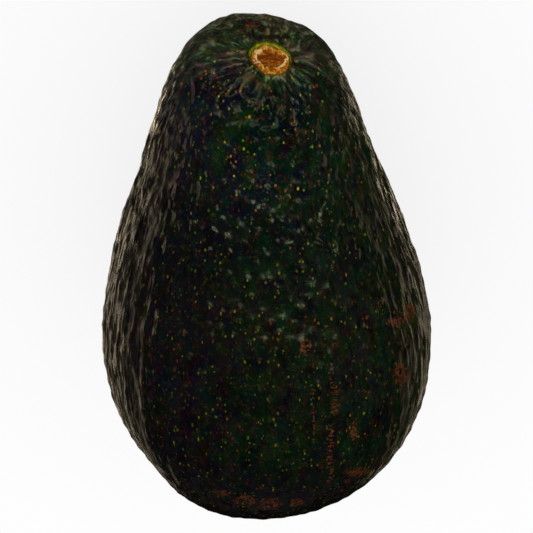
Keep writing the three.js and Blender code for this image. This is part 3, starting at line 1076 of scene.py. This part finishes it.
def tinted(r, colour, place):
    """Olive flecks and rusty clouds, and tints that multiply what lies under them, one of them
    painted shade in the hollow below the stem.
    """
    fleck = r.times(r.mask(r.noise(place, 1.0, 3.0, 0.7), 0.54, 0.68), 0.6)
    colour = r.over(fleck, colour, FLECK_OLIVE)
    clouds = r.noise(r.spread(place, TINT_CLOUDS), 1.0, 6.0, 0.75, "Color")
    clouds = r.vector("MULTIPLY_ADD", clouds, [6.5] * 3, [-2.25] * 3)
    clouds = r.vector("MAXIMUM", clouds, [0.1] * 3)
    for tint in (
            r.over(r.times(r.told("near_stem"), 0.6), clouds, WHITE),
            # Painted shade: the ground is darker and bluer in the hollow below the stem.
            r.over(r.told("waxed"), THROAT_PAINTED_SHADE, WHITE),
            r.over(r.told("upper"), WHITE, UPPER_TINT)):
        colour = r.vector("MULTIPLY", colour, tint)
    rusty = r.noise(r.spread(place, RUSTY_CLOUDS, (40, 0, 0)), 1.0, 3.0, 0.6)
    return r.over(r.times(r.mask(rusty, 0.56, 0.68), 0.6), colour, RUSTY)


def stained(r, colour, strand, fine, grit):
    """Tan strokes broken up along the grain, and dark ones with ragged edges."""
    tan = r.line(fine, 2.6, r.line(strand, 2.0, r.less(r.told("tan"), 2.45)))
    tan = r.times(r.mask(tan, 0.2, 1.0), r.mask(r.told("tan"), 0.02, 0.3))
    colour = r.over(r.times(tan, 0.65), colour, TAN)
    dark = r.line(grit, 1.0, r.less(r.told("dark"), 0.5))
    dark = r.times(r.mask(dark, 0.2, 0.7), 0.85)
    return r.over(dark, colour, DARK_RED), dark


def with_lip(r, colour, mottle):
    """Yellow-green close to the button, turning deep green outwards."""
    lip_mask = r.plus(r.told("on_lip"), r.line(mottle, 0.5, -0.25))
    fresh = r.over(r.mask(lip_mask, 0.62, 0.94), LIP_DEEP, LIP_GREEN)
    fresh = r.over(r.mask(lip_mask, 0.82, 1.02), fresh, LIP_YELLOW)
    return r.over(r.mask(lip_mask, 0.08, 0.4), colour, fresh)


print("darkest ground:", min((BLUE_GREEN, LEAF_GREEN, PURPLE_BLACK), key=sum))

# %% [markdown]
# ## The skin's gloss and finest relief
#
# Wax makes the skin glossy on its crests and leaves its furrows dull, which turns a broad
# reflection into threads of light. Relief too fine for the mesh is a bump of six heights. Colour,
# gloss and bump share their masks, so that a spot is at once a colour, a dull place and a small
# rise.

# %% The skin's material
SCUFF_BROWN = (0.12, 0.024, 0.007)
SCUFF_RUST = (0.28, 0.060, 0.014)
GRAIN_SIZE = 0.35  # mm
DOME_HEIGHT = 0.14  # mm, of what the bump adds to each pebble
BUMPS = (0.50, 0.28, 0.50)  # for each mm, across, along and up
BUMP_HEIGHT = 1.25  # mm over the whole range of the noise, as for those below
STRAND_HEIGHT = 0.90
FURROW_HEIGHT = 0.35
SHEEN = {"Sheen Weight": 0.02, "Sheen Roughness": 0.4, "Sheen Tint": (1.0, 0.84, 0.62, 1)}


def make_skin_material():
    """Ground, stains, spots, scuffs and lip, with their gloss and relief."""
    material, r, shader, place = new_material("avocado skin")
    patches, fine = grain(r, place, 9.0, GRAIN_SIZE)
    grit = r.noise(place, 1 / GRAIN_SIZE, GRAIN_DETAIL, GRAIN_ROUGHNESS)
    mottle = r.noise(place, 1 / 5.5, 4.0, 0.65)
    strand = r.noise(r.told("strand", "Vector"), 0.9, 1.5, 0.5)
    threads = r.noise(r.told("strand", "Vector"), 2.4, 2.0, 0.55)
    threads = r.line(strand, 0.4, r.line(threads, 0.9, -0.15))
    colour = tinted(r, ground_colour(r, patches, mottle, strand), place)
    colour, dark = stained(r, colour, strand, fine, grit)

    spot, tone, fine_dome = fine_spots(r, place)
    colour = r.over(spot, colour, r.over(0.3, spot_colour(r, tone), CREST_OLIVE))
    spot, tone, dome = seed_spots(r, grit)
    # Painted shade: the spots are dimmer in the hollow below the stem.
    spot = r.times(spot, r.line(r.told("waxed"), 0.7, 0.3))
    colour = r.over(spot, colour, spot_colour(r, tone))
    worn, crumb = scuff_mask(r, place)
    colour = r.over(worn, colour, r.over(r.mask(crumb, 0.42, 0.62), SCUFF_BROWN, SCUFF_RUST))
    r.tree.links.new(with_lip(r, colour, mottle), shader.inputs["Base Color"])

    furrow = r.times(r.told("furrowed"), r.mask(threads, 0.56, 0.50))
    matt = r.most(r.times(r.told("near_stem"), 0.14), r.times(spot, 0.3))
    matt = r.most(matt, r.times(worn, 0.35))
    gloss = r.line(furrow, 0.3, r.line(patches, 0.12, 0.15))
    r.tree.links.new(r.plus(gloss, matt), shader.inputs["Roughness"])
    wax = r.times(r.told("waxed"), r.line(furrow, -0.49, 0.5))
    wax = r.times(r.times(wax, r.less(1.0, dark)), r.line(spot, -0.8, 1.0))
    r.tree.links.new(wax, shader.inputs["Specular IOR Level"])

    bumps = r.noise(r.spread(place, BUMPS), 1.0, 1.0, 0.45)
    height = r.times(fine, 0.03)
    for layer, tall in (
            (fine_dome, 0.03),
            (r.times(dome, r.told("rough_start")), DOME_HEIGHT),
            (r.times(bumps, r.told("uneven")), BUMP_HEIGHT),
            (strand, r.times(r.told("drawn"), STRAND_HEIGHT)),
            (r.times(threads, r.told("furrowed")), FURROW_HEIGHT)):
        height = r.line(layer, tall, height)
    bump = r.node("Bump", {"Height": height, "Distance": MM, "Strength": 1.0})
    r.tree.links.new(bump.outputs["Normal"], shader.inputs["Normal"])
    for name, value in SHEEN.items():
        shader.inputs[name].default_value = value
    return material


skin.data.materials.append(make_skin_material())
print("nodes in the skin's material:", len(skin.active_material.node_tree.nodes))

# %% [markdown]
# ## The wood's material
#
# Dry stem wood is orange-brown with a pale ring and dark torn fibres. Its colour is also painted
# lighter on crumbs that stand up, as painted highlight, and darker in the sunken hollow, most in
# its upper half, as painted shade. An image could show that, but the numbers stored with the
# shape fit it better. The broken face has next to no gloss.

# %% Wood colours
WOOD_ORANGE = (0.52, 0.165, 0.007)
WOOD_YELLOW = (0.66, 0.31, 0.022)
# The rust and dark wood colours also serve as painted shade in the sunken hollow.
WOOD_RUST_AND_SHADE = (0.24, 0.038, 0.002)
WOOD_CREAM = (0.94, 0.62, 0.26)
WOOD_FIBRE_SHADE = (0.050, 0.012, 0.003)
BARK_BROWN = (0.12, 0.035, 0.008)
WOOD_ROUGHNESS = 0.9
WOOD_GLOSS = 0.15


def make_wood_material():
    """Orange crumbs from rust to yellow, lighter where they stand up, a cream ring, painted shade
    and torn fibres in the hollow, and bark.
    """
    material, r, shader, place = new_material("dry stem wood")
    patches, fine = grain(r, place, 0.7, 0.16)
    hollow = r.told("hollow")
    crumb = r.line(r.told("crumb"), 0.35, fine)
    pale = r.line(fine, 1.6, r.line(r.told("crumb"), 0.35, r.less(r.told("pale_ring"), 0.78)))
    fibre = r.line(fine, 2.4, r.less(r.told("fibre"), 1.2))
    # Painted highlight and shade, in part: raised crumbs are lighter, low ones rustier.
    colour = r.over(r.mask(crumb, 0.20, 0.55), WOOD_RUST_AND_SHADE, WOOD_ORANGE)
    for mask, over in (
            (r.mask(crumb, 0.50, 0.90), WOOD_YELLOW),
            (r.mask(pale, 0.25, 0.75), WOOD_CREAM),
            # Painted shade: the sunken hollow is darkened, most in its upper half, over its torn
            # fibres.
            (r.times(r.times(hollow, r.mask(fibre, 0.65, -0.15)), 0.9), WOOD_FIBRE_SHADE),
            (r.times(hollow, 0.55), WOOD_RUST_AND_SHADE),
            (r.times(r.told("bark"), r.mask(patches, 0.25, 0.6)), BARK_BROWN)):
        colour = r.over(mask, colour, over)
    r.tree.links.new(colour, shader.inputs["Base Color"])
    shader.inputs["Roughness"].default_value = WOOD_ROUGHNESS
    shader.inputs["Specular IOR Level"].default_value = WOOD_GLOSS
    bump = r.node("Bump", {"Height": fine, "Distance": 0.15 * MM, "Strength": 1.0})
    r.tree.links.new(bump.outputs["Normal"], shader.inputs["Normal"])
    return material


button.data.materials.append(make_wood_material())
print("nodes in the wood's material:", len(button.active_material.node_tree.nodes))

# %% [markdown]
# ## The floor
#
# The fruit lies on a pale floor that runs out to a pale horizon. Its glossy skin would mirror
# that all round, so in a studio it lies on a dark cloth, with a light card on each side. Here the
# camera alone sees the pale floor, and the gloss sees cloth and cards. The cards are in slats, so
# that the flanks reflect threads of light, each has a bright strip for the outermost edge, and a
# weaker barred card lies beyond the stem.

# %% Floor and horizon
FLOOR_SIZE = 40.0  # metres across
PALE = (0.985, 0.985, 0.985)
BLACK = (0.0, 0.0, 0.0)
SHADE_REACH = 0.07  # metres from the fruit where its shade ends
SHADE = 0.20  # how dark the shade is right under it
CARD_GLOW = (3.7, 3.05, 2.1)
CARDS = [  # mm to the right where it starts, is whole and ends, its strip, and Y in four steps
    (-260.0, -120.0, -42.0, 2.3, (-190.0, -28.0, -28.0, 58.0)),
    (170.0, 90.0, 42.0, 1.2, (-160.0, -40.0, -35.0, 60.0)),
]
RIGHT_SHARE = 0.7  # of the left card's glow
SLATS = (0.135, 0.008, 0)  # for each mm, across and along, as for the bars below
BARS = (0.03, 0.12, 0)
NEAR_CARD = (92.0, 68.0)  # between these the card dims towards the fruit
STRIP = (66.0, 50.0)  # between these its bright strip begins
STRIP_TOP = (50.0, 22.0)  # and between these it comes in along the fruit
STRIP_FULL = (-32.0, -8.0)  # below the first of these it has a quarter of its glow
CARD_SLANT = (0.4, -20.0)  # how its near edge follows the neck, and from where
STEM_GLOW = (0.50, 0.41, 0.25)
STEM_CARD = (42.0, 58.0, 70.0, 110.0)  # mm along where it starts, is whole, wanes and ends
STEM_CARD_SIDE = (60.0, 20.0)  # mm aside between which it grows to its full glow
WORLD_GLOW = (0.014, 0.020, 0.024)


def camera_only(r, lit, shown):
    """What the camera is shown, in place of what lights the scene and is mirrored."""
    seen = r.node("LightPath").outputs["Is Camera Ray"]
    return r.node("MixShader", {0: seen, 1: lit, 2: shown}).outputs[0]


def card(r, axes, start, whole, end, strip, ends):
    """A patch of the floor that fades away from the fruit and towards both of its ends."""
    side, along = np.sign(end), axes["Y"]
    beyond = r.most(r.less(along, CARD_SLANT[1]), 0.0)
    place = r.line(beyond, side * CARD_SLANT[0], axes["X"])
    near = r.mask(place, side * NEAR_CARD[0], side * NEAR_CARD[1])
    level = r.times(r.mask(place, start, whole), r.line(near, -0.2, 0.52))
    level = r.times(level, r.mask(along, ends[3], ends[2]))
    edge = r.times(r.mask(place, side * STRIP[0], side * STRIP[1]), r.mask(along, *STRIP_TOP))
    edge = r.times(edge, r.line(r.mask(along, *STRIP_FULL), 0.75, 0.25))
    level = r.times(r.line(edge, strip, level), r.mask(place, end, end + side * 4))
    return r.times(level, r.mask(along, ends[0], ends[1]))


def broken(r, level, place, spacing, gap):
    """The level broken up by noise into strips, with what is left of it in the gaps."""
    strips = r.mask(r.noise(r.spread(place, spacing), 1.0, 1.0, 0.5), 0.46, 0.58)
    return r.times(level, r.line(strips, 1 - gap, gap))


def make_floor_material():
    """Pale and softly shaded to the camera, and a dark cloth with light cards to the gloss."""
    material, r, _, place = new_material("floor")
    axes = r.node("SeparateXYZ", {"Vector": place}).outputs
    left, right = [card(r, axes, *numbers) for numbers in CARDS]
    sides = r.line(right, RIGHT_SHARE, left)
    begin, whole, wane, end = STEM_CARD
    stem = r.times(r.mask(axes["Y"], begin, whole), r.mask(axes["Y"], end, wane))
    aside = r.mask(r.math("ABSOLUTE", axes["X"]), *STEM_CARD_SIDE)
    stem = r.times(stem, r.line(aside, 0.8, 0.2))
    glow = r.over(broken(r, stem, place, BARS, 0.1), BLACK, STEM_GLOW)
    glow = r.over(broken(r, sides, place, SLATS, 0.05), glow, CARD_GLOW)
    lit = r.node("Emission", {"Color": glow}).outputs[0]
    open_sky = r.node("AmbientOcclusion", {"Distance": SHADE_REACH}, samples=8)
    shade = r.line(open_sky.outputs["AO"], SHADE, 1 - SHADE)
    shown = r.node("Emission", {"Color": (*PALE, 1), "Strength": shade}).outputs[0]
    output = next(n for n in r.tree.nodes if n.type == "OUTPUT_MATERIAL")
    r.tree.links.new(camera_only(r, lit, shown), output.inputs["Surface"])
    return material


half = FLOOR_SIZE / 2
corners = [(-half, -half, 0), (half, -half, 0), (half, half, 0), (-half, half, 0)]
floor = bpy.data.objects.new("floor", bpy.data.meshes.new("floor"))
floor.data.from_pydata(corners, [], [(0, 1, 2, 3)])
bpy.context.scene.collection.objects.link(floor)
floor.data.materials.append(make_floor_material())

world = bpy.data.worlds.new("studio")
world.use_nodes = True
bpy.context.scene.world = world
world.node_tree.nodes.clear()
sky = Recipe(world.node_tree)
skies = [
    sky.node("Background", {"Color": (*c, 1)}).outputs[0] for c in (WORLD_GLOW, PALE)]
sky.node("OutputWorld", {"Surface": camera_only(sky, *skies)})
print("light cards:", len(CARDS))

# %% [markdown]
# ## Light
#
# A large soft box beyond the stem end, with a smaller one in its middle, looks back over the
# fruit. Its reflection lies over the upper half as cloudy highlights, while the blossom end turns
# away and stays dark. A weak fill stays out of the gloss, faint panels stand all round, and a
# narrow spot picks out the button.

# %% Lights
GREENISH = (0.88, 1.0, 0.64)
BOXES = [  # name, width, height and place in metres, watts, colour
    ("stem side soft box", 0.46, 0.15, (0.03, 0.215, 0.251), 0.17, GREENISH),
    ("stem side light", 0.22, 0.06, (0.03, 0.212, 0.247), 0.115, GREENISH),
    ("even fill", 1.0, 1.0, (0.05, -0.15, 0.73), 1.25, WHITE),
    ("low stem side box", 0.6, 0.09, (0.0, 0.42, 0.13), 0.08, (1.0, 0.95, 0.75)),
    ("right panel", 0.9, 0.5, (0.70, 0.05, 0.42), 0.08, WHITE),
    ("left panel", 0.9, 0.5, (-0.70, 0.05, 0.42), 0.05, WHITE),
    ("blossom side panel", 0.8, 0.2, (0.0, -0.6, 0.10), 0.01, WHITE),
]
SPOT_PLACE = (-0.10, 0.20, 0.45)  # metres from the scar
SPOT_ANGLE = np.radians(2.2)
SPOT_WATTS = 82.0
SPOT_RADIUS = 0.03  # metres, which softens its edge


def hang(name, kind, place, aim, power):
    """A light of one kind at a place in metres, aimed at another."""
    lamp = bpy.data.objects.new(name, bpy.data.lights.new(name, kind))
    bpy.context.scene.collection.objects.link(lamp)
    lamp.location = place
    lamp.rotation_euler = (Vector(aim) - Vector(place)).to_track_quat("-Z", "Y").to_euler()
    lamp.data.energy = power
    return lamp


for name, width, height, place, power, colour in BOXES:
    lamp = hang(name, "AREA", place, TARGET, power)
    lamp.data.shape = "RECTANGLE"
    lamp.data.size, lamp.data.size_y, lamp.data.color = width, height, colour
    lamp.visible_camera = False
bpy.data.objects["even fill"].visible_glossy = False

scar = scar_origin * MM
spot_lamp = hang("stem snoot", "SPOT", Vector(scar) + Vector(SPOT_PLACE), scar, SPOT_WATTS)
spot_lamp.visible_glossy = False
spot_lamp.data.spot_size, spot_lamp.data.spot_blend = SPOT_ANGLE, 0.8
spot_lamp.data.shadow_soft_size = SPOT_RADIUS
bpy.context.scene.view_settings.view_transform = "Standard"
